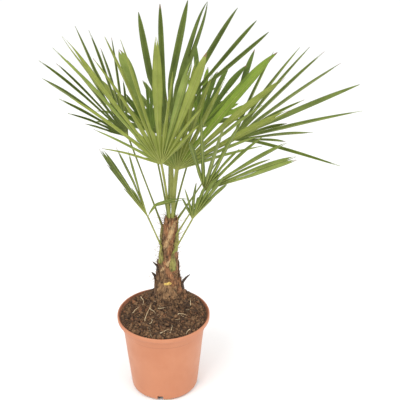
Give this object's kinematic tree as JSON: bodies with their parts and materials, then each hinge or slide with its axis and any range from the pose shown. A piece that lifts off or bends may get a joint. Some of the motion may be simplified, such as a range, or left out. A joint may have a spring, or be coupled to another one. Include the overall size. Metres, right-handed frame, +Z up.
{
  "type": "potted windmill palm",
  "caption": "Young Chinese windmill palm in a terracotta-coloured nursery pot: fibrous tapering trunk, slender petioles and upright pleated fan leaves.",
  "frame": {"origin": "centre of the pot's flat underside", "axes": "+Z up along the plant, the underside faces -Z, -Y is the front as in the picture, +X to the right"},
  "size_m": [0.6641, 0.5726, 0.875],
  "materials": {
    "terracotta_plastic": "terracotta-coloured plastic, fine matt",
    "potting_mix": "crumbly brown bark and coir mix with pale root fibres",
    "trunk_fibre": "woven red-brown palm fibre over old leaf bases",
    "dead_leaf_base": "dark dry stub",
    "petiole_green": "smooth green stalk with fine teeth along its edges",
    "leaf_green": "pleated green blade, paler below, with light ribs"
  },
  "bodies": {
    "root": {"blade_back": "leaf_green", "blade_back_left": "leaf_green", "blade_back_right": "leaf_green", "blade_front_left": "leaf_green", "blade_front_right": "leaf_green", "blade_left": "leaf_green", "blade_low_left": "leaf_green", "blade_low_right": "leaf_green", "blade_lowest_right": "leaf_green", "blade_right": "leaf_green", "blade_upright_back": "leaf_green", "old_leaf_left_high": "dead_leaf_base", "old_leaf_left_low": "dead_leaf_base", "old_leaf_right": "dead_leaf_base", "petiole_back": "petiole_green", "petiole_back_left": "petiole_green", "petiole_back_right": "petiole_green", "petiole_front_left": "petiole_green", "petiole_front_right": "petiole_green", "petiole_left": "petiole_green", "petiole_low_left": "petiole_green", "petiole_low_right": "petiole_green", "petiole_lowest_right": "petiole_green", "petiole_right": "petiole_green", "petiole_upright_back": "petiole_green", "pot": "terracotta_plastic", "soil": "potting_mix", "trunk": "trunk_fibre"}
  },
  "joints": []
}
